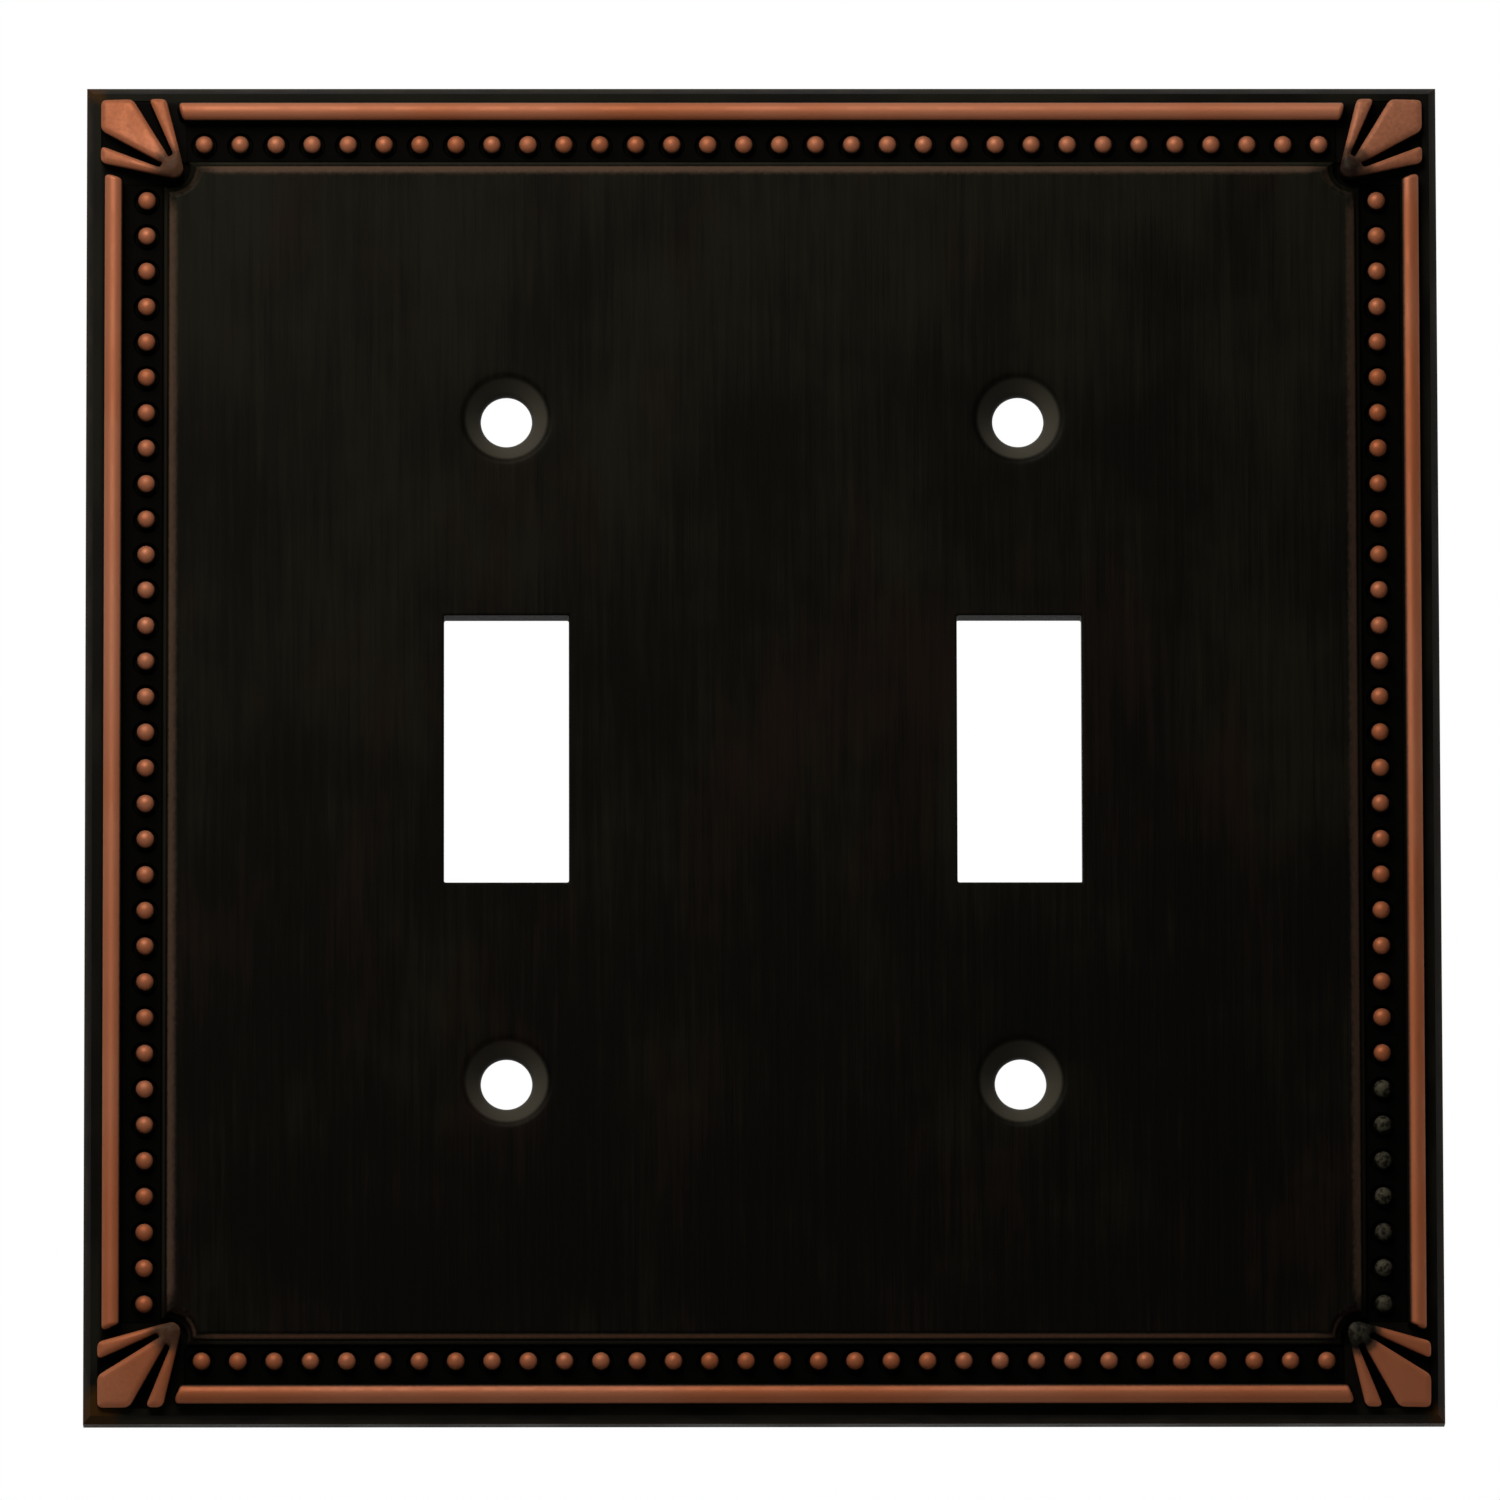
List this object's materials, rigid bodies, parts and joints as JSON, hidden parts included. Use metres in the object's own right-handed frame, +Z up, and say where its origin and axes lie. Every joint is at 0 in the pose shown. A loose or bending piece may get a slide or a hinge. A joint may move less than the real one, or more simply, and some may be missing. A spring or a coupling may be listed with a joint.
{
  "type": "toggle switch wall plate",
  "caption": "Square two-gang toggle switch wall plate in dark oil-rubbed bronze with a copper rod border, a beaded gallery and fluted corner leaves.",
  "frame": {"origin": "centre of the plate on the wall plane, where its back rim lies", "axes": "+X to the right seen from the room, +Y into the wall, +Z up; the decorated front faces -Y"},
  "size_m": [0.1216, 0.0058, 0.1216],
  "materials": {
    "dark_bronze": "satin",
    "brushed_bronze": "satin",
    "rubbed_copper": "satin"
  },
  "bodies": {
    "root": {"back_pan": "dark_bronze", "face_panel": "brushed_bronze", "border_rod_top": "rubbed_copper", "border_rod_bottom": "rubbed_copper", "border_rod_left": "rubbed_copper", "border_rod_right": "rubbed_copper", "gallery_strip_top": "dark_bronze", "gallery_strip_bottom": "dark_bronze", "gallery_strip_left": "dark_bronze", "gallery_strip_right": "dark_bronze", "bead_row_top": "rubbed_copper", "bead_row_bottom": "rubbed_copper", "bead_row_left": "rubbed_copper", "bead_row_right": "rubbed_copper", "corner_leaf_top_left": "rubbed_copper", "corner_leaf_top_right": "rubbed_copper", "corner_leaf_bottom_left": "rubbed_copper", "corner_leaf_bottom_right": "rubbed_copper"}
  },
  "joints": []
}
